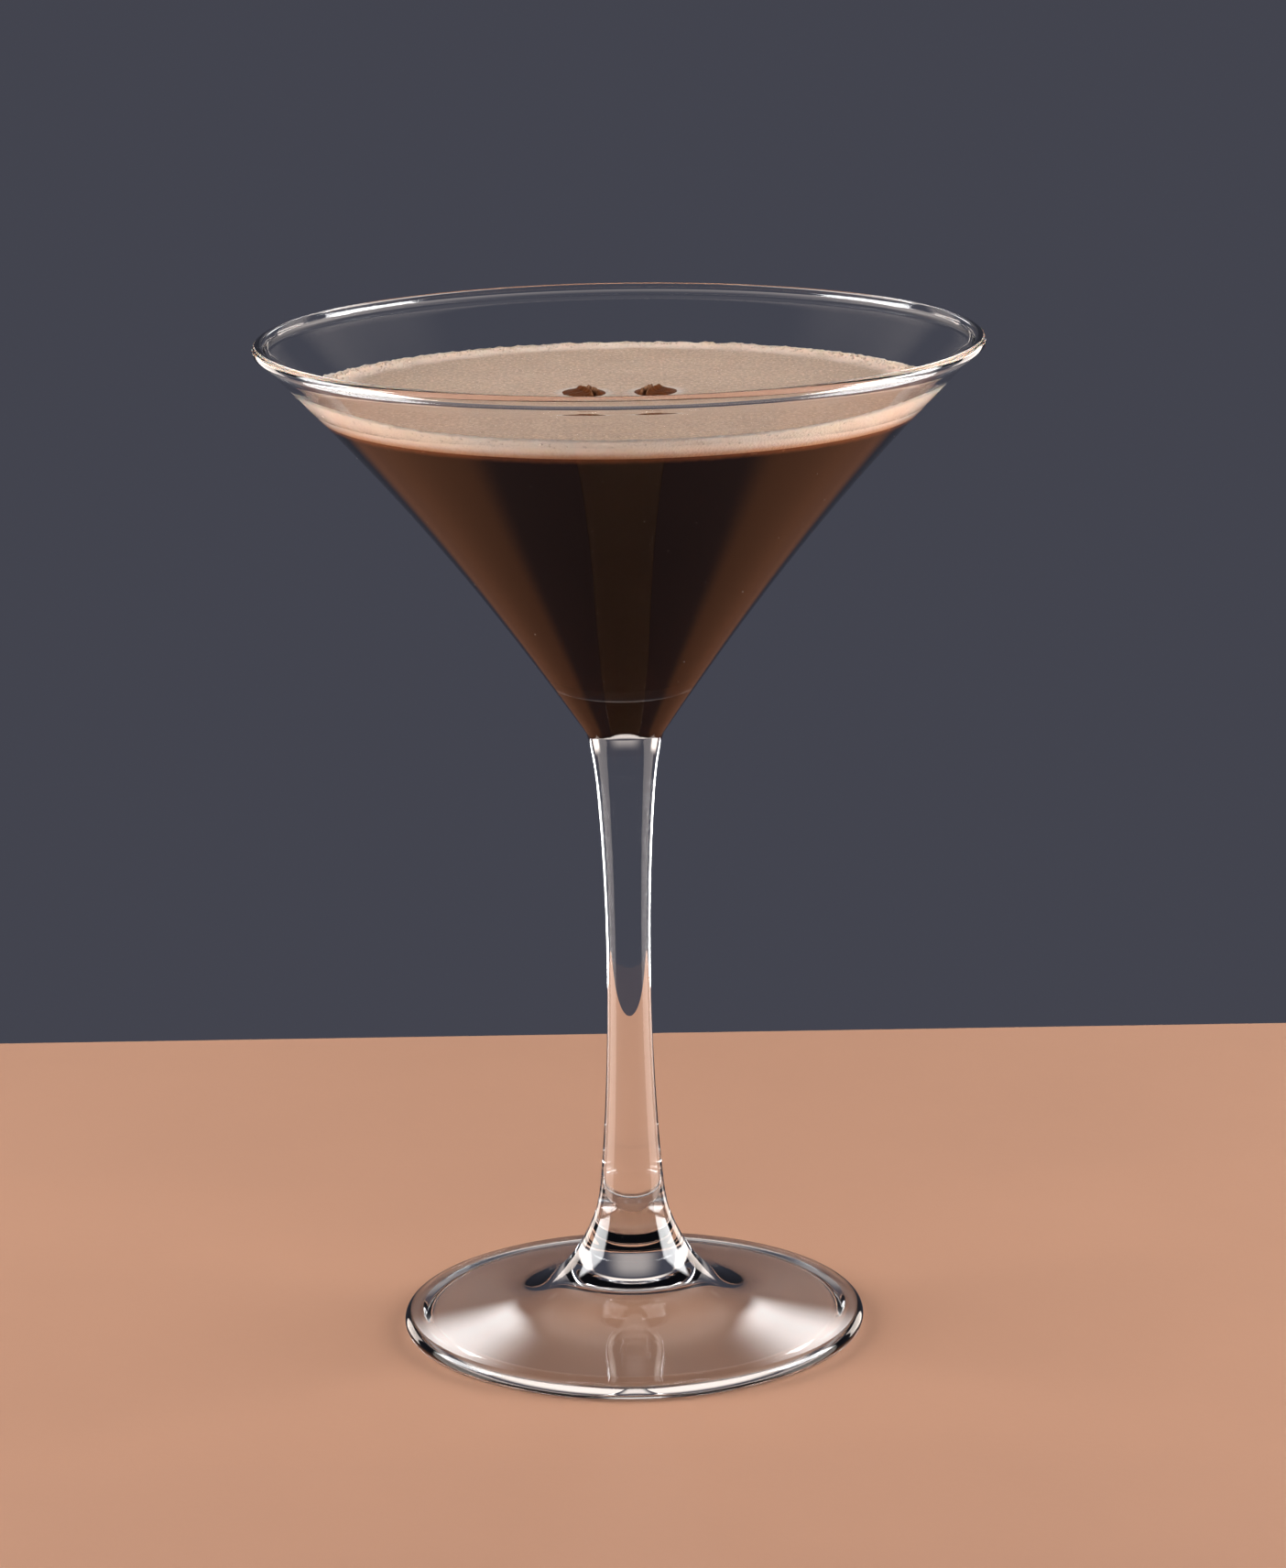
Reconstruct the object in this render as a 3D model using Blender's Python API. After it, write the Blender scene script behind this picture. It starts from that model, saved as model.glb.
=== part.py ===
"""Coffee martini cocktail in its stemmed glass: glass, coffee, foam and two coffee beans.

Metres, +Z up. The origin is the middle of the foot's resting plane.
Everything round is turned about the Z axis, which is the axis of the glass.
"""
import math

import bpy

MM = 0.001

# Turning: sides of every turned piece, and the distance within which points on the axis merge
SIDES = 60
AXIS_MERGE = 0.005 * MM
CLEARANCE = 0.3 * MM

# Foot: a shallow trumpet on a flat resting ring, with an underside that follows its top face up to a dome
FOOT_RADIUS = 37.9 * MM
FOOT_EDGE_HEIGHT = 2.9 * MM
FOOT_CONE_RISE = 3.7 * MM
FOOT_FLARE_RISE = 12.4 * MM
FOOT_FLARE_POWER = 6.0
FOOT_STATION_POWER = 1.8
REST_RING_WIDTH = 2.4 * MM
RING_STEP = 0.6 * MM
FOOT_PLATE = 2.6 * MM
HOLLOW_TOP = 9.0 * MM
HOLLOW_BLEND = 4.0
HOLLOW_STATION_POWER = 1.4

# Stem: slimmest at the waist, swelling to the shoulder on the foot and to the collar at the bowl
SHOULDER_RADIUS = 6.2 * MM
SHOULDER_HEIGHT = FOOT_EDGE_HEIGHT + FOOT_CONE_RISE + FOOT_FLARE_RISE
WAIST_RADIUS = 3.55 * MM
WAIST_HEIGHT = 62.0 * MM
COLLAR_RADIUS = 6.4 * MM
COLLAR_HEIGHT = 100.5 * MM
LOWER_SWELL = 2.1 * MM
LOWER_BEAD_POWER = 20.0
UPPER_SWELL = 1.95 * MM
UPPER_BEAD_POWER = 12.0
UPPER_FIRST_STATION = 0.16
LOWER_FIRST_STATION = 0.85

# Bowl: a cone that opens a little more towards its rim
RIM_HEIGHT = 163.75 * MM
BOWL_RISE = RIM_HEIGHT - COLLAR_HEIGHT
BOWL_CONE = 43.4 * MM
BOWL_FLARE = 8.2 * MM
BOWL_FLARE_POWER = 2.5
WALL = 1.3 * MM
RIM_BEAD_RADIUS = 0.95 * MM
RIM_BEAD_START = math.radians(185.0)
RIM_BEAD_END = math.radians(-30.0)
INNER_FACE_TOP = RIM_HEIGHT - 2.0 * RIM_BEAD_RADIUS
OUTER_FACE_TOP = RIM_HEIGHT - 1.6 * RIM_BEAD_RADIUS
FLOOR_JOIN_HEIGHT = 117.3 * MM

# Drink: the levels where foam and coffee meet the wall, and how far the foam hangs in the middle
FOAM_LEVEL = 155.4 * MM
FOAM_CLIMB = 1.5 * MM
FOAM_CLIMB_WIDTH = 3.0 * MM
COFFEE_LEVEL = 153.7 * MM
FOAM_SAG = 2.6 * MM
FOAM_SAG_WIDTH = 14.0 * MM

# Coffee beans: flat side up, bellies sunk in the foam, their near ends turned towards each other
BEAN_WIDTH = 7.2 * MM
BEAN_LENGTH = 8.8 * MM
BEAN_BELLY = 2.5 * MM
BEAN_CROWN = 0.55 * MM
BEAN_SPACING = 11.4 * MM
BEAN_SET_BACK = 1.2 * MM
BEAN_TURN = math.radians(12.0)
BEAN_WAIST_HEIGHT = FOAM_LEVEL
CLEFT_WIDTH = 0.55 * MM
CLEFT_DEPTH = 0.95 * MM
CLEFT_BEND = 0.35 * MM
CLEFT_OFFSET = 0.9 * MM
LIP_HEIGHT = 0.55 * MM
LIP_WIDTH = 0.75 * MM
BEAN_GRID = 18
BEAN_GRID_POWER = 1.25
HOLLOW_SIDES = 24
HOLLOW_RINGS = 7


def clear_scene():
    """Start from an empty scene."""
    for item in list(bpy.data.objects):
        bpy.data.objects.remove(item)


def make_material(name, colour, roughness, metallic=0.0, transmission=0.0, ior=1.45):
    """One Principled material with the finish of a sub-part."""
    material = bpy.data.materials.new(name)
    material.use_nodes = True
    shader = material.node_tree.nodes["Principled BSDF"]
    shader.inputs["Base Color"].default_value = (*colour, 1.0)
    shader.inputs["Roughness"].default_value = roughness
    shader.inputs["Metallic"].default_value = metallic
    shader.inputs["Transmission Weight"].default_value = transmission
    shader.inputs["IOR"].default_value = ior
    return material


def add_mesh_object(name, vertices, edges, faces, material):
    """A named object with one mesh and one material."""
    mesh = bpy.data.meshes.new(name)
    mesh.from_pydata(vertices, edges, faces)
    mesh.materials.append(material)
    piece = bpy.data.objects.new(name, mesh)
    bpy.context.scene.collection.objects.link(piece)
    return piece


def turn(name, outline, material):
    """A solid turned about Z from an outline of (radius, height) points, top to bottom outside."""
    vertices = [(radius, 0.0, height) for radius, height in outline]
    edges = [(i, i + 1) for i in range(len(vertices) - 1)]
    piece = add_mesh_object(name, vertices, edges, [], material)
    screw = piece.modifiers.new("turn", "SCREW")
    screw.axis = "Z"
    screw.angle = 2.0 * math.pi
    screw.screw_offset = 0.0
    screw.steps = SIDES
    screw.render_steps = SIDES
    screw.use_merge_vertices = True
    screw.merge_threshold = AXIS_MERGE
    screw.use_smooth_shade = True
    return piece


def spread(first, last, count):
    """Evenly spaced values from first to last, both included."""
    return [first + (last - first) * i / (count - 1) for i in range(count)]


def arc(centre, radius, start, end, count):
    """Points on an arc in the outline's plane; angles are measured from the outward direction."""
    return [
        (centre[0] + radius * math.cos(angle), centre[1] + radius * math.sin(angle))
        for angle in spread(start, end, count)
    ]


def bowl_outside(height):
    """Radius of the bowl's outer face, and its slope, at a height above the collar."""
    t = (height - COLLAR_HEIGHT) / BOWL_RISE
    radius = COLLAR_RADIUS + BOWL_CONE * t + BOWL_FLARE * t**BOWL_FLARE_POWER
    slope = (BOWL_CONE + BOWL_FLARE_POWER * BOWL_FLARE * t ** (BOWL_FLARE_POWER - 1.0)) / BOWL_RISE
    return radius, slope


def under_skin(height, depth):
    """The point that lies a given depth under the bowl's outer face, square to it."""
    radius, slope = bowl_outside(height)
    length = math.hypot(1.0, slope)
    return radius - depth / length, height + depth * slope / length


def floor_arc(depth, count):
    """The round floor of the bowl, from the axis out to where it runs into the wall."""
    radius, height = under_skin(FLOOR_JOIN_HEIGHT, depth)
    slope = bowl_outside(FLOOR_JOIN_HEIGHT)[1]
    tilt = math.atan(slope)
    ball = radius / math.cos(tilt)
    centre = (0.0, height + ball * math.sin(tilt))
    return arc(centre, ball, -math.pi / 2.0, -tilt, count)


def skin_height(level, depth):
    """Outer height whose point under the skin lies at a level inside the bowl."""
    low, high = FLOOR_JOIN_HEIGHT, RIM_HEIGHT
    for _ in range(40):
        middle = (low + high) / 2.0
        if under_skin(middle, depth)[1] < level:
            low = middle
        else:
            high = middle
    return low


def wall_radius(level, depth):
    """Radius, at a level, of the surface that lies a given depth under the bowl's outer face."""
    return under_skin(skin_height(level, depth), depth)[0]


def wall_points(depth, top_level, count):
    """Points up the inside of the bowl, from the end of the floor to a level."""
    top = skin_height(top_level, depth)
    return [under_skin(height, depth) for height in spread(FLOOR_JOIN_HEIGHT, top, count)][1:]


def stem_radius(height):
    """Radius of the stem between the shoulder and the collar."""
    if height < WAIST_HEIGHT:
        reach = (WAIST_HEIGHT - height) / (WAIST_HEIGHT - SHOULDER_HEIGHT)
        bead = SHOULDER_RADIUS - WAIST_RADIUS - LOWER_SWELL
        return WAIST_RADIUS + LOWER_SWELL * reach**2 + bead * reach**LOWER_BEAD_POWER
    reach = (height - WAIST_HEIGHT) / (COLLAR_HEIGHT - WAIST_HEIGHT)
    flare = COLLAR_RADIUS - WAIST_RADIUS - UPPER_SWELL
    return WAIST_RADIUS + UPPER_SWELL * reach**2 + flare * reach**UPPER_BEAD_POWER


def foot_height(radius):
    """Height of the foot's top face at a radius."""
    edge = FOOT_RADIUS - FOOT_EDGE_HEIGHT / 2.0
    reach = (edge - radius) / (edge - SHOULDER_RADIUS)
    return FOOT_EDGE_HEIGHT + FOOT_CONE_RISE * reach + FOOT_FLARE_RISE * reach**FOOT_FLARE_POWER


def hollow_height(radius):
    """Height of the foot's underside: a plate's thickness under the top face, rounded off to a dome."""
    follow = foot_height(max(radius, SHOULDER_RADIUS)) - FOOT_PLATE
    return (follow**-HOLLOW_BLEND + HOLLOW_TOP**-HOLLOW_BLEND) ** (-1.0 / HOLLOW_BLEND)


def glass_outline():
    """Floor, inner wall, rim bead, outer wall, stem, foot and underside, in that order."""
    outline = floor_arc(WALL, 6)

    # The inner wall stops where the bead begins, and the bead is centred on the wall's top
    bead_centre = (bowl_outside(RIM_HEIGHT)[0] - RIM_BEAD_RADIUS, RIM_HEIGHT)
    heights = spread(FLOOR_JOIN_HEIGHT, INNER_FACE_TOP, 7)[1:]
    outline += [under_skin(height, WALL) for height in heights]
    outline += arc(bead_centre, RIM_BEAD_RADIUS, RIM_BEAD_START, RIM_BEAD_END, 8)
    outline += [(bowl_outside(h)[0], h) for h in spread(OUTER_FACE_TOP, COLLAR_HEIGHT, 9)]

    # Stations crowd towards the collar and the shoulder, where the stem flares fastest
    above = COLLAR_HEIGHT - WAIST_HEIGHT
    below = WAIST_HEIGHT - SHOULDER_HEIGHT
    upper = [WAIST_HEIGHT + above * (1.0 - s * s) for s in spread(UPPER_FIRST_STATION, 1.0, 7)]
    lower = [WAIST_HEIGHT - below * (1.0 - s * s) for s in spread(LOWER_FIRST_STATION, 0.0, 6)]
    outline += [(stem_radius(height), height) for height in upper + lower]

    edge = FOOT_RADIUS - FOOT_EDGE_HEIGHT / 2.0
    shares = [s**FOOT_STATION_POWER for s in spread(0.0, 1.0, 9)]
    radii = [SHOULDER_RADIUS + (edge - SHOULDER_RADIUS) * share for share in shares]
    outline += [(radius, foot_height(radius)) for radius in radii[1:-1]]
    edge_centre = (edge, FOOT_EDGE_HEIGHT / 2.0)
    outline += arc(edge_centre, FOOT_EDGE_HEIGHT / 2.0, math.pi / 2.0, -math.pi / 2.0, 7)

    ring = edge - REST_RING_WIDTH
    outline.append((ring, 0.0))
    shares = [s**HOLLOW_STATION_POWER for s in spread(1.0, 0.0, 9)]
    radii = [(ring - RING_STEP) * share for share in shares]
    return outline + [(radius, hollow_height(radius)) for radius in radii]


def foam_underside(radius, wall):
    """Height of the line between foam and coffee: level at the wall, hanging lower inwards."""
    reach = min((wall - radius) / FOAM_SAG_WIDTH, 1.0)
    return COFFEE_LEVEL - FOAM_SAG * math.sin(reach * math.pi / 2.0)


def foam_top(radius, wall):
    """Height of the foam's top face: flat, with a small climb at the wall."""
    reach = max(1.0 - (wall - radius) / FOAM_CLIMB_WIDTH, 0.0)
    return FOAM_LEVEL + FOAM_CLIMB * reach**2


def coffee_outline():
    """Top face, side and round floor of the coffee, a clearance inside the glass and the foam."""
    depth = WALL + CLEARANCE
    top = COFFEE_LEVEL - CLEARANCE
    wall = wall_radius(top, depth)
    radii = [0.0] + spread(wall - FOAM_SAG_WIDTH, wall, 5)
    outline = [(radius, foam_underside(radius, wall) - CLEARANCE) for radius in radii[:-1]]
    side = floor_arc(depth, 5) + wall_points(depth, top, 5)
    return outline + side[::-1]


def foam_outline():
    """Top face, side and underside of the foam."""
    depth = WALL + CLEARANCE
    top_wall = wall_radius(FOAM_LEVEL + FOAM_CLIMB, depth)
    low_wall = wall_radius(COFFEE_LEVEL, depth)
    inner = spread(top_wall - FOAM_CLIMB_WIDTH, top_wall, 4)
    outline = [(radius, foam_top(radius, top_wall)) for radius in [0.0] + inner]
    outline.append((wall_radius(FOAM_LEVEL - CLEARANCE, depth), FOAM_LEVEL - CLEARANCE))
    radii = spread(low_wall, low_wall - FOAM_SAG_WIDTH, 5) + [0.0]
    outline += [(radius, foam_underside(radius, low_wall)) for radius in radii]
    return outline


def disc_point(u, v):
    """Point of a unit disc for a point of the square from -1 to 1, keeping the edges together."""
    return u * math.sqrt(1.0 - v * v / 2.0), v * math.sqrt(1.0 - u * u / 2.0)


def bean_top(x, y, reach, side):
    """Height of the bean's flat side: a low crown, two lips and the cleft, bent like an S, between them."""
    middle = side * (CLEFT_BEND * math.sin(y / BEAN_LENGTH * 2.0 * math.pi) - CLEFT_OFFSET)
    across = abs(x - middle)
    fade = 1.0 - reach**4
    crown = BEAN_CROWN * fade
    lips = LIP_HEIGHT * math.exp(-(((across - LIP_WIDTH) / LIP_WIDTH) ** 2)) * fade
    cleft = CLEFT_DEPTH * math.exp(-((across / CLEFT_WIDTH) ** 2)) * fade
    return crown + lips - cleft


def make_bean(name, side, material):
    """One coffee bean; side is -1 for the left one and 1 for the right one."""
    steps = BEAN_GRID
    values = [math.copysign(abs(s) ** BEAN_GRID_POWER, s) for s in spread(-1.0, 1.0, steps + 1)]
    vertices = []
    index = {}
    for face in ("top", "belly"):
        for i, u in enumerate(values):
            for j, v in enumerate(values):
                on_edge = i in (0, steps) or j in (0, steps)
                if on_edge and face == "belly":
                    index[face, i, j] = index["top", i, j]
                    continue
                unit_x, unit_y = disc_point(u, v)
                reach = min(math.hypot(unit_x, unit_y), 1.0)
                x = unit_x * BEAN_WIDTH / 2.0
                y = unit_y * BEAN_LENGTH / 2.0
                height = -BEAN_BELLY * math.sqrt(1.0 - reach**2)
                if face == "top":
                    height = bean_top(x, y, reach, side)
                index[face, i, j] = len(vertices)
                vertices.append((x, y, 0.0 if on_edge else height))
    faces = []
    for i in range(steps):
        for j in range(steps):
            quad = [(i, j), (i + 1, j), (i + 1, j + 1), (i, j + 1)]
            faces.append([index["top", a, b] for a, b in quad])
            faces.append([index["belly", a, b] for a, b in reversed(quad)])
    piece = add_mesh_object(name, vertices, [], faces, material)
    piece.data.shade_smooth()
    piece.location = (side * BEAN_SPACING / 2.0, BEAN_SET_BACK, BEAN_WAIST_HEIGHT)
    piece.rotation_euler = (0.0, 0.0, -side * BEAN_TURN)
    return piece


def make_hollow(bean, material):
    """The cutter for the hollow that a bean sits in: its belly, a clearance larger, open upwards."""
    half_width = BEAN_WIDTH / 2.0 + CLEARANCE
    half_length = BEAN_LENGTH / 2.0 + CLEARANCE
    depth = BEAN_BELLY + CLEARANCE
    vertices = [(0.0, 0.0, -depth)]
    rings = [(math.sin(a), -math.cos(a)) for a in spread(0.0, math.pi / 2.0, HOLLOW_RINGS)[1:]]
    rings.append((1.0, 1.0))
    for out, down in rings:
        for k in range(HOLLOW_SIDES):
            angle = 2.0 * math.pi * k / HOLLOW_SIDES
            x = half_width * out * math.cos(angle)
            y = half_length * out * math.sin(angle)
            vertices.append((x, y, depth * down))
    faces = []
    for k in range(HOLLOW_SIDES):
        after = (k + 1) % HOLLOW_SIDES
        faces.append([0, 1 + after, 1 + k])
        for ring in range(len(rings) - 1):
            low = 1 + ring * HOLLOW_SIDES
            high = low + HOLLOW_SIDES
            faces.append([low + k, low + after, high + after, high + k])
    top = 1 + (len(rings) - 1) * HOLLOW_SIDES
    faces.append([top + k for k in range(HOLLOW_SIDES)])
    cutter = add_mesh_object(bean.name + "_hollow", vertices, [], faces, material)
    cutter.location = bean.location
    cutter.rotation_euler = bean.rotation_euler
    cutter.hide_render = True
    cutter.display_type = "WIRE"
    return cutter


def cut(piece, cutter):
    """Cut one object out of another."""
    boolean = piece.modifiers.new("cut_" + cutter.name, "BOOLEAN")
    boolean.operation = "DIFFERENCE"
    boolean.solver = "EXACT"
    boolean.object = cutter


def main():
    clear_scene()
    clear_glass = make_material("clear_glass", (0.95, 0.96, 0.96), 0.02, transmission=1.0, ior=1.55)
    dark_coffee = make_material("dark_coffee", (0.020, 0.007, 0.003), 0.08)
    coffee_foam = make_material("coffee_foam", (0.52, 0.36, 0.25), 0.75)
    roasted_bean = make_material("roasted_bean", (0.085, 0.032, 0.014), 0.45)

    turn("glass", glass_outline(), clear_glass)
    turn("coffee", coffee_outline(), dark_coffee)
    foam = turn("foam", foam_outline(), coffee_foam)
    for name, side in (("bean_left", -1), ("bean_right", 1)):
        bean = make_bean(name, side, roasted_bean)
        cut(foam, make_hollow(bean, coffee_foam))


main()
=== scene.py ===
"""Coffee martini: the finished looks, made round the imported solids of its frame.

Metres, +Z up, origin at the middle of the foot's resting plane. The camera looks along +Y.
The glass, the coffee, the foam and the two beans are finely shaped pieces that stand for the solids,
and the coffee and the foam reach just into the wall of the glass, so that no air gap shows.
"""
import math
import random

import bmesh
import bpy
import numpy as np
from mathutils import Matrix, Vector, noise


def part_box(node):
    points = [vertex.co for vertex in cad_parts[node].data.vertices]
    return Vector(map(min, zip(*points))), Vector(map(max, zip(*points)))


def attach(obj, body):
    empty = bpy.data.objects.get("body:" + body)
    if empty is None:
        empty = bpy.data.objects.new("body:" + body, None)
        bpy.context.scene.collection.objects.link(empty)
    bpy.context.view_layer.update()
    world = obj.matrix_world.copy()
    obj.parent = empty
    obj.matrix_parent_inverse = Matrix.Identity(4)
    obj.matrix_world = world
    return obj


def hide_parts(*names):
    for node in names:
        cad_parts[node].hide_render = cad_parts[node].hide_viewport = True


bl_info = {
    "name": "Coffee martini",
    "version": (1, 0, 0),
    "blender": (4, 5, 0),
    "location": "View3D > Sidebar > Martini",
    "description": "A coffee martini in its stemmed glass, with foam and two coffee beans",
    "category": "Add Mesh",
}

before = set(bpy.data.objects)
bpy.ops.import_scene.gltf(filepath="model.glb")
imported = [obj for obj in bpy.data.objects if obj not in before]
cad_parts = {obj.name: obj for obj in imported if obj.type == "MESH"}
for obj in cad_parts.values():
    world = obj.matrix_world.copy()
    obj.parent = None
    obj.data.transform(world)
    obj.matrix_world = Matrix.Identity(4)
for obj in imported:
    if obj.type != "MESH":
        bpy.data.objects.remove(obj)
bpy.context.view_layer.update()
GLASS_LOW, GLASS_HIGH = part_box("glass")
BEAN_BOXES = {name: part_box(name) for name in ("bean_left", "bean_right")}

MM = 0.001
TURN = 2.0 * math.pi

# The photograph's camera, in metres and radians, and its focal length in pixels of the 1404 x 1712 frame
IMAGE_HEIGHT = 1712
CAMERA_DISTANCE = 0.812
CAMERA_HEIGHT = 0.2929
CAMERA_PITCH = 0.2430
CAMERA_ROLL = -0.0151
CAMERA_PAN = -0.0034
FOCAL_PIXELS = 5655.0
SENSOR = 36.0


def metres(name, description, default):
    """A size that a user may change, in metres."""
    return bpy.props.FloatProperty(
        name=name, description=description, default=default, min=0.0, precision=5, unit="LENGTH"
    )


def rgb(name, description, default):
    """A colour that a user may change."""
    return bpy.props.FloatVectorProperty(
        name=name, description=description, default=default, size=3, min=0.0, max=1.0, subtype="COLOR"
    )


class GlassSizes(bpy.types.PropertyGroup):
    """Sizes of the glass. Heights are above the table."""

    rim_radius: metres("Rim radius", "Outer radius of the rim", GLASS_HIGH.x)
    height: metres("Height", "Top of the rim", GLASS_HIGH.z)
    bead_radius: metres("Bead radius", "Radius of the rounded rim", 0.95 * MM)
    bowl_flare: metres("Bowl flare", "How far the bowl opens beyond a plain cone", 8.2 * MM)
    wall: metres("Wall", "Thickness of the bowl's wall", 1.3 * MM)
    floor_join: metres("Floor join", "Height where the round floor meets the wall", 117.3 * MM)
    collar_radius: metres("Collar radius", "Stem radius where the bowl begins", 6.4 * MM)
    collar_height: metres("Collar height", "Height where the bowl begins", 100.5 * MM)
    waist_radius: metres("Waist radius", "Radius of the stem at its slimmest", 3.55 * MM)
    waist_height: metres("Waist height", "Height of the slimmest place", 62.0 * MM)
    shoulder_radius: metres("Shoulder radius", "Stem radius on top of the foot", 6.2 * MM)
    upper_swell: metres("Upper swell", "Slow widening of the stem towards the bowl", 1.95 * MM)
    lower_swell: metres("Lower swell", "Slow widening of the stem towards the foot", 2.1 * MM)
    foot_radius: metres("Foot radius", "Outer radius of the foot", 37.9 * MM)
    foot_edge: metres("Foot edge", "Thickness of the foot's rounded edge", 2.9 * MM)
    cone_rise: metres("Cone rise", "Rise of the foot's plain cone", 3.7 * MM)
    flare_rise: metres("Flare rise", "Rise of the trumpet under the stem", 12.4 * MM)
    ring_width: metres("Ring width", "Width of the flat ring that the foot rests on", 2.4 * MM)
    foot_plate: metres("Foot plate", "Thickness of the foot above its hollow", 2.6 * MM)
    hollow_top: metres("Hollow top", "Height of the dome under the foot", 9.0 * MM)


class DrinkSizes(bpy.types.PropertyGroup):
    """Levels of the drink and sizes of what floats on it."""

    foam_level: metres("Foam level", "Height of the foam's top", 155.4 * MM)
    foam_climb: metres("Foam climb", "Rise of the foam at the wall", 1.5 * MM)
    climb_width: metres("Climb width", "How far in the foam starts to climb", 3.0 * MM)
    coffee_level: metres("Coffee level", "Height of the foam line at the wall", 153.7 * MM)
    foam_sag: metres("Foam sag", "How much lower the foam line lies inwards", 2.6 * MM)
    sag_width: metres("Sag width", "How far in the foam line is lowest", 14.0 * MM)
    reach_in: metres("Reach in", "How far the drink reaches into the wall", 0.15 * MM)
    pale_edge: metres("Pale edge", "Width of the paler ring of foam at the wall", 5.0 * MM)
    bean_width: metres("Bean width", "Width of a coffee bean", 7.2 * MM)
    bean_length: metres("Bean length", "Length of a coffee bean", 8.8 * MM)
    bean_belly: metres("Bean belly", "Depth of a bean's round side", 2.5 * MM)
    bean_crown: metres("Bean crown", "Height of a bean's flat side", 0.42 * MM)


class Colours(bpy.types.PropertyGroup):
    """Colours of the drink and the stage, as the shader takes them."""

    coffee: rgb("Coffee", "The drink", (0.0019, 0.0004, 0.0001))
    # Painted light: the coffee low in the bowl is painted lighter and browner, for the light that gets
    # through where the bowl narrows
    coffee_lit_low: rgb("Coffee lit low", "The drink low in the bowl", (0.0048, 0.0011, 0.0003))
    coffee_line: rgb("Coffee line", "The drink just under the foam", (0.16, 0.045, 0.015))
    foam: rgb("Foam", "The foam's top", (0.54, 0.375, 0.27))
    # Partly the foam's own paler ring, partly painted light: made brighter to light the foam's side behind
    # the glass, which holds back the lamps
    foam_edge: rgb("Foam edge", "The foam's paler ring at the wall", (0.90, 0.71, 0.58))
    foam_ring: rgb("Foam ring", "The foam's greyer ring round each bean", (0.60, 0.52, 0.46))
    foam_low: rgb("Foam low", "The foam just above the coffee", (0.52, 0.23, 0.11))
    bean: rgb("Bean", "Roasted skin", (0.075, 0.022, 0.006))
    chaff: rgb("Chaff", "Light skin in the cleft", (0.42, 0.22, 0.12))
    table: rgb("Floor", "The pale floor", (0.50, 0.255, 0.155))
    backdrop: rgb("Backdrop", "The slate grey behind", (0.056, 0.058, 0.077))


def spread(first, last, count):
    """Evenly spaced values from first to last, both included."""
    return [first + (last - first) * i / (count - 1) for i in range(count)]


def arc(centre, radius, start, end, count):
    """Points on an arc in an outline's plane; angles are measured from the outward direction."""
    return [
        (centre[0] + radius * math.cos(angle), centre[1] + radius * math.sin(angle))
        for angle in spread(start, end, count)
    ]


def ease(low, high, value):
    """0 below low, 1 above high, and a smooth rise between them."""
    t = min(max((value - low) / (high - low), 0.0), 1.0)
    return t * t * (3.0 - 2.0 * t)


# Outlines of the glass, as (radius, height) points

BOWL_FLARE_POWER = 2.5
UPPER_BEAD_POWER = 12.0
LOWER_BEAD_POWER = 20.0
FOOT_FLARE_POWER = 6.0
HOLLOW_BLEND = 4.0
RING_STEP = 0.6 * MM
# How points crowd towards the stem on the foot's top and on its underside
FOOT_CROWDING = 1.8
HOLLOW_CROWDING = 1.4
# The rim's bead: where its arc begins and ends, and how many of its radii down the outer face starts
BEAD_START = math.radians(185.0)
BEAD_END = math.radians(-30.0)
BEAD_DROP = 1.6
# The foam's rise at the wall, in shares of the foam climb: all round, towards the front, and at both sides
CREST_MEAN = 0.85
CREST_LEAN = 0.50
SIDE_CREST = 1.7
SIDE_CREST_TURN = math.radians(22.0)
SIDE_CREST_WIDTH = math.radians(18.0)


def lumps(place, layers):
    """Noise at a place, summed over layers of (fineness per metre, height in millimetres)."""
    return sum(noise.noise(place * fineness) * height for fineness, height in layers)


def rim_centre_height(glass):
    """Height of the middle of the rim's bead, where the bowl is widest."""
    return glass.height - glass.bead_radius


def bowl_outside(glass, height):
    """Radius of the bowl's outer face, and its slope, at a height above the collar."""
    rise = rim_centre_height(glass) - glass.collar_height
    cone = glass.rim_radius - glass.collar_radius - glass.bowl_flare
    t = (height - glass.collar_height) / rise
    radius = glass.collar_radius + cone * t + glass.bowl_flare * t**BOWL_FLARE_POWER
    slope = (cone + BOWL_FLARE_POWER * glass.bowl_flare * t ** (BOWL_FLARE_POWER - 1.0)) / rise
    return radius, slope


def under_skin(glass, height, depth):
    """The point that lies a given depth under the bowl's outer face, square to it."""
    radius, slope = bowl_outside(glass, height)
    length = math.hypot(1.0, slope)
    return radius - depth / length, height + depth * slope / length


def floor_arc(glass, depth, count):
    """The round floor of the bowl, from the axis out to where it runs into the wall."""
    radius, height = under_skin(glass, glass.floor_join, depth)
    tilt = math.atan(bowl_outside(glass, glass.floor_join)[1])
    ball = radius / math.cos(tilt)
    return arc((0.0, height + ball * math.sin(tilt)), ball, -math.pi / 2.0, -tilt, count)


def skin_height(glass, level, depth):
    """Outer height whose point under the skin lies at a level inside the bowl."""
    low, high = glass.floor_join, rim_centre_height(glass)
    for _ in range(40):
        middle = (low + high) / 2.0
        if under_skin(glass, middle, depth)[1] < level:
            low = middle
        else:
            high = middle
    return low


def wall_radius(glass, level, depth):
    """Radius, at a level, of the surface that lies a given depth under the bowl's outer face."""
    return under_skin(glass, skin_height(glass, level, depth), depth)[0]


def wall_points(glass, depth, high, count):
    """Points up the inside of the bowl, from the edge of its floor to a level."""
    last = skin_height(glass, high, depth)
    return [under_skin(glass, height, depth) for height in spread(glass.floor_join, last, count)]


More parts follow.
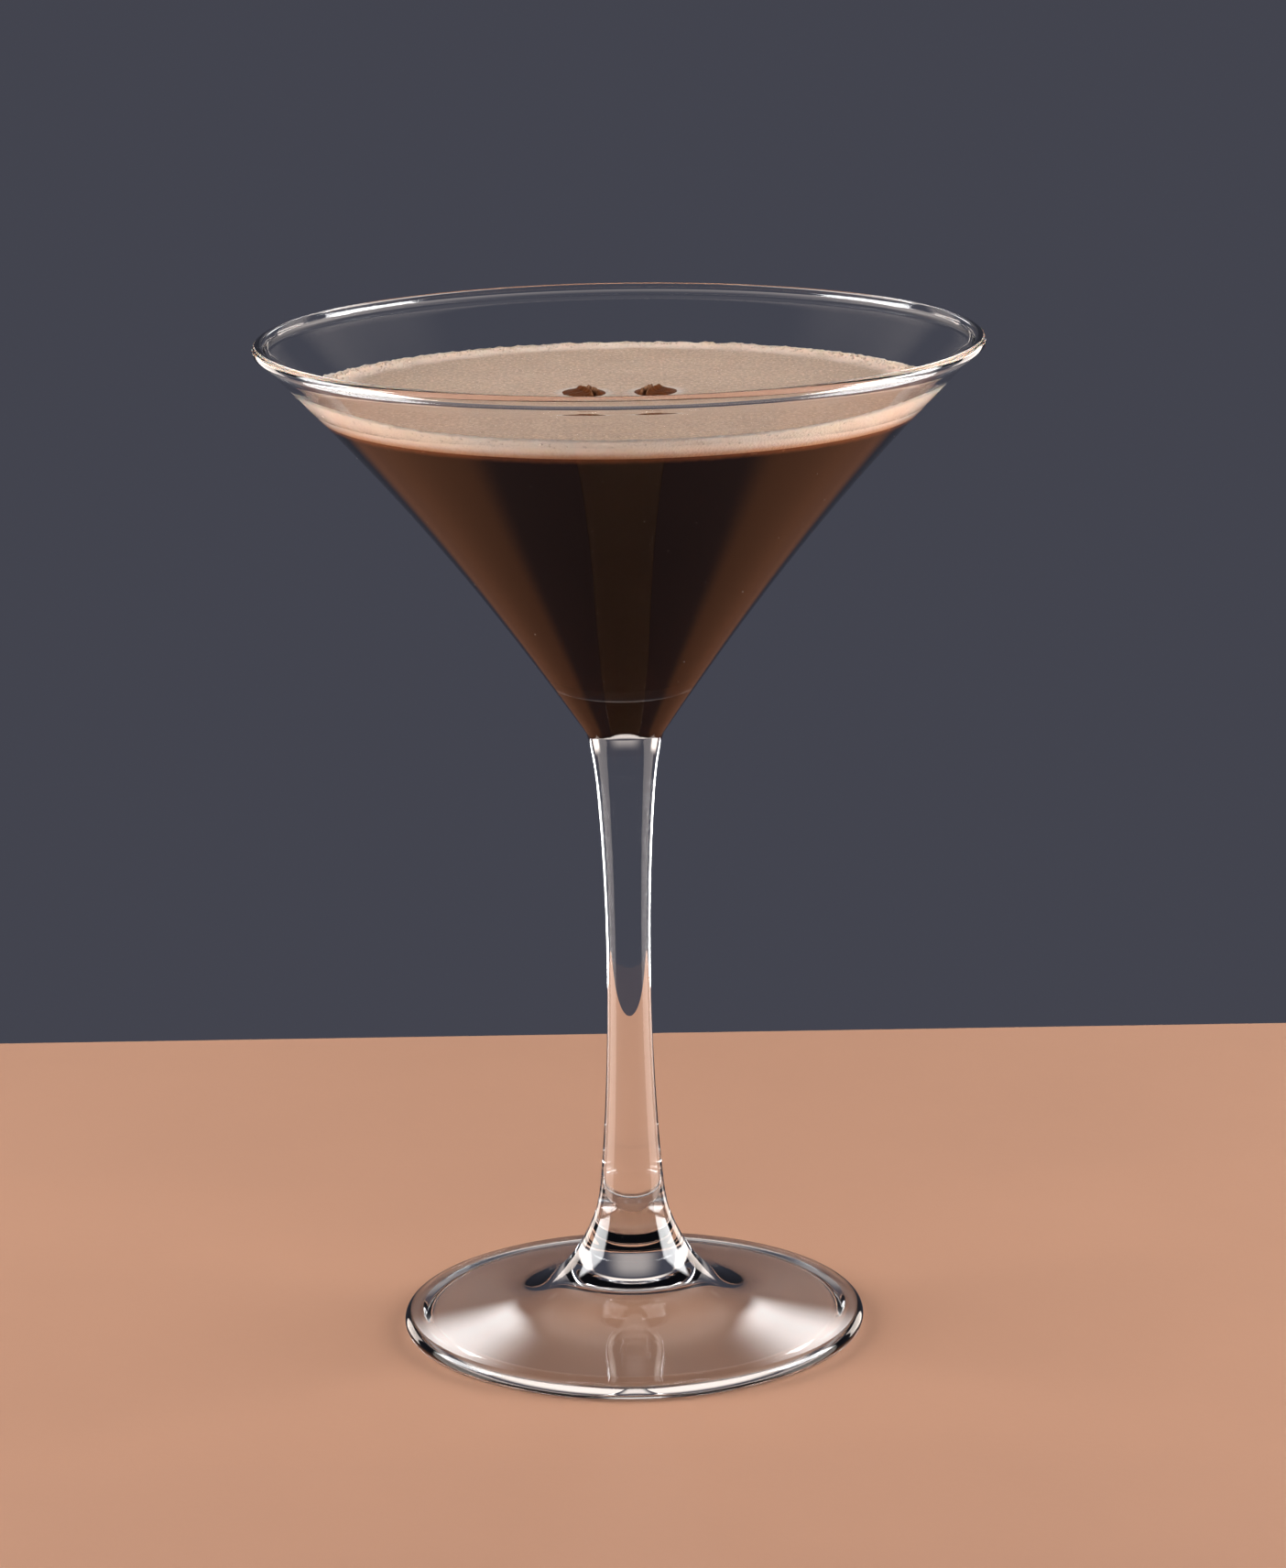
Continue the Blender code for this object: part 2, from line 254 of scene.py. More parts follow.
def stem_radius(glass, height):
    """Radius of the stem between the shoulder and the collar."""
    shoulder = glass.foot_edge + glass.cone_rise + glass.flare_rise
    if height < glass.waist_height:
        reach = (glass.waist_height - height) / (glass.waist_height - shoulder)
        bead = glass.shoulder_radius - glass.waist_radius - glass.lower_swell
        return glass.waist_radius + glass.lower_swell * reach**2 + bead * reach**LOWER_BEAD_POWER
    reach = (height - glass.waist_height) / (glass.collar_height - glass.waist_height)
    flare = glass.collar_radius - glass.waist_radius - glass.upper_swell
    return glass.waist_radius + glass.upper_swell * reach**2 + flare * reach**UPPER_BEAD_POWER


def foot_height(glass, radius):
    """Height of the foot's top face at a radius."""
    edge = glass.foot_radius - glass.foot_edge / 2.0
    reach = (edge - radius) / (edge - glass.shoulder_radius)
    return glass.foot_edge + glass.cone_rise * reach + glass.flare_rise * reach**FOOT_FLARE_POWER


def hollow_height(glass, radius):
    """Height of the foot's underside: a plate's thickness under the top face, rounded off to a dome."""
    follow = foot_height(glass, max(radius, glass.shoulder_radius)) - glass.foot_plate
    return (follow**-HOLLOW_BLEND + glass.hollow_top**-HOLLOW_BLEND) ** (-1.0 / HOLLOW_BLEND)


def glass_outline(glass):
    """Floor, inner wall, rim bead, outer wall, stem, foot and underside, in that order."""
    outline = floor_arc(glass, glass.wall, 24)
    bead = glass.bead_radius
    rim = rim_centre_height(glass)
    inner_top = rim - 2.0 * bead
    heights = spread(glass.floor_join, inner_top, 40)[1:]
    outline += [under_skin(glass, height, glass.wall) for height in heights]
    centre = (glass.rim_radius - bead, rim)
    outline += arc(centre, bead, BEAD_START, BEAD_END, 22)
    outer_top = rim - BEAD_DROP * bead
    outline += [(bowl_outside(glass, h)[0], h) for h in spread(outer_top, glass.collar_height, 48)]

    above = glass.collar_height - glass.waist_height
    below = glass.waist_height - (glass.foot_edge + glass.cone_rise + glass.flare_rise)
    heights = [glass.waist_height + above * (1.0 - s * s) for s in spread(0.08, 1.0, 26)]
    heights += [glass.waist_height - below * (1.0 - s * s) for s in spread(0.95, 0.0, 26)]
    outline += [(stem_radius(glass, height), height) for height in heights]

    half_edge = glass.foot_edge / 2.0
    edge = glass.foot_radius - half_edge
    span = edge - glass.shoulder_radius
    radii = [glass.shoulder_radius + span * s**FOOT_CROWDING for s in spread(0.0, 1.0, 40)]
    outline += [(radius, foot_height(glass, radius)) for radius in radii[1:-1]]
    outline += arc((edge, half_edge), half_edge, math.pi / 2.0, -math.pi / 2.0, 20)
    ring = edge - glass.ring_width
    outline.append((ring, 0.0))
    radii = [(ring - RING_STEP) * s**HOLLOW_CROWDING for s in spread(1.0, 0.0, 50)]
    return outline + [(radius, hollow_height(glass, radius)) for radius in radii]


def foam_crest(drink, angle):
    """How far the foam climbs the wall at an angle round the glass: least behind, most at both sides."""
    crest = CREST_MEAN - CREST_LEAN * math.sin(angle)
    for side in (-SIDE_CREST_TURN, math.pi + SIDE_CREST_TURN):
        crest += SIDE_CREST * math.exp((math.cos(angle - side) - 1.0) / SIDE_CREST_WIDTH**2)
    return drink.foam_climb * crest


def foam_wall(glass, drink, depth):
    """Radius of the wall at the foam's level, and how fast it grows with height."""
    low = wall_radius(glass, drink.foam_level, depth)
    high = wall_radius(glass, drink.foam_level + drink.foam_climb, depth)
    return low, (high - low) / drink.foam_climb


def foam_underside(drink, radius, wall):
    """Height of the line between foam and coffee: level at the wall, hanging lower inwards."""
    reach = min(max((wall - radius) / drink.sag_width, 0.0), 1.0)
    return drink.coffee_level - drink.foam_sag * math.sin(reach * math.pi / 2.0)


# Making pieces

def finish_piece(piece, material, replaces=None):
    """Give a piece its material and its body, and hide the solid that it stands for."""
    piece.data.materials.append(material)
    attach(piece, "root")
    if replaces:
        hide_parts(replaces)
    return piece


def add_object(name, data):
    """A new object in the scene."""
    piece = bpy.data.objects.new(name, data)
    bpy.context.scene.collection.objects.link(piece)
    return piece


def object_from_bmesh(name, shape):
    """A smooth-shaded object from a bmesh, which is freed."""
    bmesh.ops.recalc_face_normals(shape, faces=shape.faces)
    mesh = bpy.data.meshes.new(name)
    shape.to_mesh(mesh)
    shape.free()
    mesh.shade_smooth()
    return add_object(name, mesh)


def turned_bmesh(outline, sides):
    """The solid that an outline of (radius, height) points sweeps round Z."""
    shape = bmesh.new()
    points = [shape.verts.new((radius, 0.0, height)) for radius, height in outline]
    edges = [shape.edges.new(pair) for pair in zip(points, points[1:])]
    bmesh.ops.spin(
        shape, geom=points + edges, cent=(0, 0, 0), axis=(0, 0, 1), angle=TURN, steps=sides, use_merge=True
    )
    bmesh.ops.remove_doubles(shape, verts=shape.verts, dist=0.0005 * MM)
    return shape


def object_from_arrays(name, vertices, faces):
    """A smooth-shaded object from an array of points and one of faces."""
    mesh = bpy.data.meshes.new(name)
    mesh.from_pydata(vertices.tolist(), [], faces.tolist())
    mesh.shade_smooth()
    return add_object(name, mesh)


def small_ball():
    """Points and faces of one small ball of radius 1."""
    shape = bmesh.new()
    bmesh.ops.create_icosphere(shape, subdivisions=1, radius=1.0)
    vertices = np.array([v.co for v in shape.verts])
    faces = np.array([[v.index for v in face.verts] for face in shape.faces])
    shape.free()
    return vertices, faces


def scattered_balls(name, places, sizes, normals, flatness):
    """Many small balls in one mesh, each flattened along its own normal."""
    ball, ball_faces = small_ball()
    vertices = []
    faces = []
    for k, (place, size, normal) in enumerate(zip(places, sizes, normals)):
        turn = np.array(Vector((0, 0, 1)).rotation_difference(Vector(normal)).to_matrix())
        scaled = ball * np.array([size, size, size * flatness])
        vertices.append(scaled @ turn.T + np.array(place))
        faces.append(ball_faces + k * len(ball))
    return object_from_arrays(name, np.concatenate(vertices), np.concatenate(faces))


def add_attribute(piece, name, values):
    """Keep one value for each point of a piece, for its material to read."""
    attribute = piece.data.attributes.new(name, "FLOAT", "POINT")
    attribute.data.foreach_set("value", values)


# Node groups and materials

def new_group(name, inputs, outputs):
    """A shader node group with named inputs (name, default) and named outputs."""
    group = bpy.data.node_groups.new(name, "ShaderNodeTree")
    for label, default in inputs:
        socket = group.interface.new_socket(label, in_out="INPUT", socket_type="NodeSocketFloat")
        socket.default_value = default
    for label in outputs:
        group.interface.new_socket(label, in_out="OUTPUT", socket_type="NodeSocketFloat")
    return group, group.nodes.new("NodeGroupInput"), group.nodes.new("NodeGroupOutput")


def feed(tree, socket, value):
    """Link a socket to another one, or set it to a plain value."""
    if isinstance(value, bpy.types.NodeSocket):
        tree.links.new(value, socket)
    else:
        socket.default_value = value


def maths(tree, operation, first, second=None, clamp=False):
    """A math node whose inputs are numbers or sockets."""
    node = tree.nodes.new("ShaderNodeMath")
    node.operation = operation
    node.use_clamp = clamp
    feed(tree, node.inputs[0], first)
    if second is not None:
        feed(tree, node.inputs[1], second)
    return node.outputs[0]


def map_range(tree, value, low, high, to_low=0.0, to_high=1.0):
    """Smoothly map a socket's value from one range to another; the ends may be sockets."""
    node = tree.nodes.new("ShaderNodeMapRange")
    node.interpolation_type = "SMOOTHSTEP"
    tree.links.new(value, node.inputs["Value"])
    for label, end in (("From Min", low), ("From Max", high), ("To Min", to_low), ("To Max", to_high)):
        feed(tree, node.inputs[label], end)
    return node.outputs["Result"]


def mix_colour(tree, factor, first, second):
    """Mix two colours, given as sockets or as values."""
    node = tree.nodes.new("ShaderNodeMix")
    node.data_type = "RGBA"
    tree.links.new(factor, node.inputs["Factor"])
    for label, value in (("A", first), ("B", second)):
        socket = next(s for s in node.inputs if s.name == label and s.type == "RGBA")
        if not isinstance(value, bpy.types.NodeSocket):
            value = (*value, 1.0)
        feed(tree, socket, value)
    return next(s for s in node.outputs if s.type == "RGBA")


def point_value(tree, name):
    """The value that add_attribute kept for each point."""
    node = tree.nodes.new("ShaderNodeAttribute")
    node.attribute_name = name
    return node.outputs["Fac"]


def shade(colour, factor):
    """A colour made darker or lighter, with no channel above 1."""
    return tuple(min(factor * value, 1.0) for value in colour)


def object_place(tree):
    """The object coordinates, in metres."""
    return tree.nodes.new("ShaderNodeTexCoord").outputs["Object"]


def noise_node(tree, scale, detail, roughness=0.55):
    """A noise texture on object coordinates; scale may be a socket."""
    node = tree.nodes.new("ShaderNodeTexNoise")
    tree.links.new(object_place(tree), node.inputs["Vector"])
    feed(tree, node.inputs["Scale"], scale)
    node.inputs["Detail"].default_value = detail
    node.inputs["Roughness"].default_value = roughness
    return node.outputs["Fac"]


def make_froth_group():
    """Fine bubbles: a height for bump, and a mask of the hollows between them, for painted shade."""
    group, given, out = new_group("froth", [("Scale", 2600.0), ("Unevenness", 0.5)], ["Height", "Pit shade"])
    cells = group.nodes.new("ShaderNodeTexVoronoi")
    group.links.new(object_place(group), cells.inputs["Vector"])
    group.links.new(given.outputs["Scale"], cells.inputs["Scale"])
    domes = maths(group, "SUBTRACT", 1.0, cells.outputs["Distance"], clamp=True)
    coarse = noise_node(group, maths(group, "MULTIPLY", given.outputs["Scale"], 0.35), 3.0)
    uneven = maths(group, "MULTIPLY", coarse, given.outputs["Unevenness"])
    group.links.new(maths(group, "ADD", domes, uneven), out.inputs["Height"])
    group.links.new(map_range(group, cells.outputs["Distance"], 0.55, 0.85), out.inputs["Pit shade"])
    return group


def make_mottle_group():
    """Soft cloudy variation from 0 to 1, with a size in 1/metres and a contrast."""
    group, given, out = new_group("mottle", [("Scale", 200.0), ("Contrast", 0.3)], ["Amount"])
    cloud = noise_node(group, given.outputs["Scale"], 4.0)
    half = maths(group, "MULTIPLY", given.outputs["Contrast"], 0.5)
    low = maths(group, "SUBTRACT", 0.5, half)
    high = maths(group, "ADD", 0.5, half)
    group.links.new(map_range(group, cloud, low, high), out.inputs["Amount"])
    return group


def make_line_group():
    """A ragged level line: 0 below it, 1 above it, over a soft width."""
    inputs = [("Level", 0.15), ("Width", 0.0005), ("Ragged", 0.0003), ("Scale", 1500.0)]
    group, given, out = new_group("level_line", inputs, ["Above"])
    split = group.nodes.new("ShaderNodeSeparateXYZ")
    group.links.new(object_place(group), split.inputs[0])
    teeth = noise_node(group, given.outputs["Scale"], 3.0, 0.7)
    centred = maths(group, "SUBTRACT", teeth, 0.5)
    shift = maths(group, "MULTIPLY", centred, given.outputs["Ragged"])
    height = maths(group, "ADD", split.outputs["Z"], shift)
    high = maths(group, "ADD", given.outputs["Level"], given.outputs["Width"])
    group.links.new(map_range(group, height, given.outputs["Level"], high), out.inputs["Above"])
    return group


def make_handling_group():
    """Faint smears and specks from washing and handling, as a roughness and a height."""
    inputs = [("Least", 0.0), ("Most", 0.05)]
    group, given, out = new_group("handling_marks", inputs, ["Roughness", "Height"])
    smears = noise_node(group, 90.0, 5.0)
    patches = map_range(group, smears, 0.52, 0.74, given.outputs["Least"], given.outputs["Most"])
    group.links.new(patches, out.inputs["Roughness"])
    group.links.new(noise_node(group, 45.0, 1.0), out.inputs["Height"])
    return group


GROUP_MAKERS = {
    "froth": make_froth_group,
    "mottle": make_mottle_group,
    "level_line": make_line_group,
    "handling_marks": make_handling_group,
}


def place_group(tree, name, **values):
    """Place a node group in a material with its own values, and make the group the first time."""
    group = bpy.data.node_groups.get(name)
    if group is None:
        group = GROUP_MAKERS[name]()
    node = tree.nodes.new("ShaderNodeGroup")
    node.node_tree = group
    for label, value in values.items():
        node.inputs[label].default_value = value
    return node.outputs


def mottle(tree, scale, contrast):
    """Place the cloudy variation in a material."""
    return place_group(tree, "mottle", Scale=scale, Contrast=contrast)["Amount"]


def new_material(name, roughness, ior=1.45):
    """A material with its Principled shader, and the two to work on."""
    material = bpy.data.materials.new(name)
    material.use_nodes = True
    shader = material.node_tree.nodes["Principled BSDF"]
    shader.inputs["Roughness"].default_value = roughness
    shader.inputs["IOR"].default_value = ior
    return material, material.node_tree, shader


def add_bump(tree, shader, height, strength, distance):
    """Feed a height through a bump node into the shader's normal."""
    bump = tree.nodes.new("ShaderNodeBump")
    bump.inputs["Strength"].default_value = strength
    bump.inputs["Distance"].default_value = distance
    tree.links.new(height, bump.inputs["Height"])
    tree.links.new(bump.outputs["Normal"], shader.inputs["Normal"])


GLASS_IOR = 1.55
COFFEE_IOR = 1.04
BEAN_IOR = 1.08
# Shares of its main colour that the clouds, the painted shade between bubbles and the grains of a finish take
COFFEE_CLOUD = 0.6
FOAM_CLOUD = 0.86
FOAM_PIT_SHADE = 0.72
FOAM_DARK_GRAIN = 0.55
FOAM_LIGHT_GRAIN = 1.5
BUBBLE_DARK = 0.80
BUBBLE_LIGHT = 1.12
BEAN_LIGHT = 1.9
FLOOR_CLOUD = 0.93
# How strongly grains colour the foam, and the share of the foam's depth that stays peach
GRAIN_MASK = 0.45
PEACH_SHARE = 0.45


def make_glass_material():
    """Clear glass, with faint smears and a very slight waviness."""
    material, tree, shader = new_material("clear_glass", 0.0, GLASS_IOR)
    shader.inputs["Base Color"].default_value = (0.985, 0.99, 0.99, 1.0)
    shader.inputs["Transmission Weight"].default_value = 1.0
    marks = place_group(tree, "handling_marks", Least=0.0, Most=0.035)
    tree.links.new(marks["Roughness"], shader.inputs["Roughness"])
    add_bump(tree, shader, marks["Height"], 0.10, 0.1 * MM)
    return material


def make_speck_material():
    """Dust and dried splashes on the glass."""
    material, tree, shader = new_material("glass_specks", 0.7)
    tint = mottle(tree, 900.0, 0.5)
    colour = mix_colour(tree, tint, (0.42, 0.34, 0.28), (0.80, 0.76, 0.72))
    tree.links.new(colour, shader.inputs["Base Color"])
    return material


def make_coffee_material(drink, colours):
    """Dark coffee behind the glass: redder just under the foam, faintly cloudy, and with painted light low
    down.
    """
    material, tree, shader = new_material("dark_coffee", 0.12, COFFEE_IOR)
    cloud = mottle(tree, 160.0, 0.5)
    body = mix_colour(tree, cloud, shade(colours.coffee, COFFEE_CLOUD), colours.coffee)
    # Painted light: below a soft line the coffee takes its lighter low colour, for the light through the
    # narrowing bowl
    upper = place_group(tree, "level_line", Level=108.0 * MM, Width=32.0 * MM, Ragged=4.0 * MM, Scale=60.0)
    body = mix_colour(tree, upper["Above"], colours.coffee_lit_low, body)
    start = drink.coffee_level - 0.9 * MM
    line = place_group(tree, "level_line", Level=start, Width=1.1 * MM, Ragged=0.5 * MM, Scale=900.0)["Above"]
    colour = mix_colour(tree, line, body, colours.coffee_line)
    tree.links.new(colour, shader.inputs["Base Color"])
    return material


def make_foam_material(drink, colours):
    """Fine coffee foam: tan on top, paler at the wall and on its side, partly with painted light, and peach
    down to the coffee.
    """
    material, tree, shader = new_material("coffee_foam", 0.55, 1.35)
    shader.inputs["Subsurface Weight"].default_value = 0.35
    shader.inputs["Subsurface Radius"].default_value = (1.0, 0.62, 0.42)
    shader.inputs["Subsurface Scale"].default_value = 0.9 * MM
    froth = place_group(tree, "froth", Scale=2100.0, Unevenness=0.8)
    cloud = mottle(tree, 110.0, 0.6)

    top = mix_colour(tree, cloud, shade(colours.foam, FOAM_CLOUD), colours.foam)
    # Painted shade: the hollows between the bubbles are darkened
    pit_shade = maths(tree, "MULTIPLY", froth["Pit shade"], 0.8)
    top = mix_colour(tree, pit_shade, top, shade(colours.foam, FOAM_PIT_SHADE))
    grain = mottle(tree, 1700.0, 0.28)
    dark_grain = map_range(tree, grain, 0.30, 0.0, 0.0, GRAIN_MASK)
    top = mix_colour(tree, dark_grain, top, shade(colours.foam, FOAM_DARK_GRAIN))
    light_grain = map_range(tree, grain, 0.75, 1.0, 0.0, GRAIN_MASK)
    top = mix_colour(tree, light_grain, top, shade(colours.foam, FOAM_LIGHT_GRAIN))

    # Partly painted light: the pale colour at the wall and on the side behind the glass is brighter than the
    # foam's own
    top = mix_colour(tree, point_value(tree, "at_wall"), top, colours.foam_edge)
    top = mix_colour(tree, point_value(tree, "at_bean"), top, colours.foam_ring)

    start = drink.coffee_level + 0.1 * MM
    width = PEACH_SHARE * (drink.foam_level - drink.coffee_level) + 0.9 * MM
    rising = place_group(tree, "level_line", Level=start, Width=width, Ragged=0.5 * MM, Scale=1300.0)["Above"]
    colour = mix_colour(tree, rising, colours.foam_low, top)
    tree.links.new(colour, shader.inputs["Base Color"])
    add_bump(tree, shader, froth["Height"], 0.8, 0.14 * MM)
    return material


def make_bubble_material(colours):
    """The thin skins of the larger bubbles, a little glossier and paler than the foam."""
    material, tree, shader = new_material("foam_bubbles", 0.25, 1.33)
    cloud = mottle(tree, 1400.0, 0.7)
    # The bubbles' colour comes from the foam's pale colour, which is partly painted light
    lighter = shade(colours.foam_edge, BUBBLE_LIGHT)
    colour = mix_colour(tree, cloud, shade(colours.foam_edge, BUBBLE_DARK), lighter)
    tree.links.new(colour, shader.inputs["Base Color"])
    froth = place_group(tree, "froth", Scale=5200.0, Unevenness=0.4)
    add_bump(tree, shader, froth["Height"], 0.2, 0.03 * MM)
    return material


def make_bean_material(colours):
    """Dark roasted skin, wrinkled and slightly oily, with lighter chaff at the cleft's lips."""
    material, tree, shader = new_material("roasted_bean", 0.5, BEAN_IOR)
    cloud = mottle(tree, 700.0, 0.6)
    skin = mix_colour(tree, cloud, colours.bean, shade(colours.bean, BEAN_LIGHT))
    chaff = point_value(tree, "chaff")
    patchy = maths(tree, "MULTIPLY", chaff, map_range(tree, cloud, 0.1, 0.8, 0.5, 1.0))
    colour = mix_colour(tree, patchy, skin, colours.chaff)
    tree.links.new(colour, shader.inputs["Base Color"])
    rough = map_range(tree, cloud, 0.0, 1.0, 0.34, 0.58)
    tree.links.new(rough, shader.inputs["Roughness"])
    grain = noise_node(tree, 2600.0, 4.0, 0.65)
    add_bump(tree, shader, grain, 0.6, 0.10 * MM)
    return material


def make_floor_material(colours):
    """A plain pale floor with the faintest unevenness."""
    material, tree, shader = new_material("pale_floor", 0.6)
    cloud = mottle(tree, 14.0, 0.9)
    colour = mix_colour(tree, cloud, shade(colours.table, FLOOR_CLOUD), colours.table)
    tree.links.new(colour, shader.inputs["Base Color"])
    add_bump(tree, shader, noise_node(tree, 700.0, 3.0), 0.08, 0.2 * MM)
    return material


# The pieces

GLASS_SIDES = 256
SPECK_COUNT = 90
SPECK_CLEAR_BELOW = 8.0 * MM
SPECK_CLEAR_ABOVE = 6.0 * MM
SPECK_SIZE = 0.05 * MM
SPECK_SIZE_RANGE = 0.07 * MM


def make_glass_body(glass):
    """The whole glass, turned in one."""
    piece = object_from_bmesh("glass_body", turned_bmesh(glass_outline(glass), GLASS_SIDES))
    return finish_piece(piece, make_glass_material(), "glass")


def make_glass_specks(glass):
    """Dust specks on the outside of the bowl, each a flattened grain that sits on the face."""
    chance = random.Random(7)
    lowest = glass.collar_height + SPECK_CLEAR_BELOW
    highest = glass.height - SPECK_CLEAR_ABOVE
    places, sizes, normals = [], [], []
    for _ in range(SPECK_COUNT):
        height = chance.uniform(lowest, highest)
        angle = chance.uniform(0.0, TURN)
        radius, slope = bowl_outside(glass, height)
        length = math.hypot(1.0, slope)
        places.append((radius * math.cos(angle), radius * math.sin(angle), height))
        normals.append((math.cos(angle) / length, math.sin(angle) / length, -slope / length))
        sizes.append(SPECK_SIZE + SPECK_SIZE_RANGE * chance.random() ** 3)
    piece = scattered_balls("glass_specks", places, sizes, normals, 0.5)
    return finish_piece(piece, make_speck_material())


# The coffee: its share of the reach into the wall, how far it laps up the wall behind the foam's ragged
# edge, how far in from the wall its top starts, and how far its top reaches into the foam
COFFEE_REACH = 0.8
COFFEE_LAP = 0.4 * MM
COFFEE_SHELF = 0.3 * MM
COFFEE_OVERLAP = 0.05 * MM


def make_coffee_drink(glass, drink, colours):
    """The coffee up to the foam line; its side reaches into the wall."""
    depth = glass.wall - COFFEE_REACH * drink.reach_in
    outline = floor_arc(glass, depth, 24)
    outline += wall_points(glass, depth, drink.coffee_level + COFFEE_LAP, 60)[1:]
    wall = outline[-1][0]
    for radius in spread(wall - COFFEE_SHELF, 0.0, 40):
        outline.append((radius, foam_underside(drink, radius, wall) + COFFEE_OVERLAP))
    piece = object_from_bmesh("coffee_drink", turned_bmesh(outline, GLASS_SIDES))
    return finish_piece(piece, make_coffee_material(drink, colours), "coffee")


def bean_place(side):
    """Middle of a bean, from the box of its solid."""
    low, high = BEAN_BOXES["bean_left" if side < 0 else "bean_right"]
    return (low.x + high.x) / 2.0, (low.y + high.y) / 2.0


BEAN_TURN = math.radians(12.0)


def bean_reach(drink, x, y, side):
    """How far out a point lies from a bean's middle: 1 on its outline."""
    place = bean_place(side)
    turn = side * BEAN_TURN
    dx, dy = x - place[0], y - place[1]
    across = dx * math.cos(turn) - dy * math.sin(turn)
    along = dx * math.sin(turn) + dy * math.cos(turn)
    return math.hypot(across / (drink.bean_width / 2.0), along / (drink.bean_length / 2.0))


# The foam's points: how many lie round each ring, and the rings in its middle, out to the wall, down
# its side and under it
FOAM_SECTORS = 480
MIDDLE_RINGS = 48
OUTER_RINGS = 71
SIDE_RINGS = 16
UNDER_RINGS = 24
MIDDLE_RADIUS = 12.0 * MM
# Layers of noise, each with its fineness per metre and its height in millimetres; a bean's ring has a share
FOAM_LUMPS = ((260.0, 0.06), (900.0, 0.045), (2400.0, 0.03))
EDGE_LUMPS = ((1500.0, 0.16), (520.0, 0.12))
RING_LUMPS = ((220.0, 1.2), (1100.0, 0.5))
BEAN_RING_LUMPS = ((700.0, 0.5),)
LINE_TEETH = ((70.0, 0.14),)
LINE_WAVES = ((26.0, 0.10),)
# How far in from the wall the foam's edge gets uneven, and the share of its pale ring that is fully pale
EDGE_WIDTH = 1.6 * MM
FULLY_PALE = 0.1
# The foam round a bean: width and rise of its ring, and depth of the dent under the bean
BEAN_RING = 0.9 * MM
BEAN_RING_RISE = 0.10 * MM
BEAN_DENT = 0.55 * MM
# Where the underside's rings begin, in from the wall, and where they end
UNDER_OUTER = 0.5 * MM
UNDER_INNER = 0.12 * MM


def foam_shape(drink, x, y, level_wall):
    """Height of the foam's top at a place, and how much it belongs to the wall's ring and to a bean's."""
    radius = math.hypot(x, y)
    crest = foam_crest(drink, math.atan2(y, x))
    wall = level_wall[0] + level_wall[1] * crest
    climb = max(0.0, 1.0 - (wall - radius) / drink.climb_width)
    height = drink.foam_level + crest * climb**2
    place = Vector((x, y, 0.0))
    height += lumps(place, FOAM_LUMPS) * MM
    height += ease(wall - EDGE_WIDTH, wall, radius) * lumps(place, EDGE_LUMPS) * MM
    ragged = lumps(place, RING_LUMPS) * MM
    at_wall = ease(wall - drink.pale_edge, wall - FULLY_PALE * drink.pale_edge, radius + ragged)
    at_bean = 0.0
    for side in (-1, 1):
        reach = bean_reach(drink, x, y, side)
        gap = (reach - 1.0) * drink.bean_width / 2.0
        ring = math.exp(-((gap / BEAN_RING) ** 2))
        at_bean = max(at_bean, ring * (0.75 + lumps(place, BEAN_RING_LUMPS)))
        height += BEAN_RING_RISE * ring
        height -= BEAN_DENT * (1.0 - ease(0.72, 0.95, reach))
    return height, at_wall, min(max(at_bean, 0.0), 1.0)


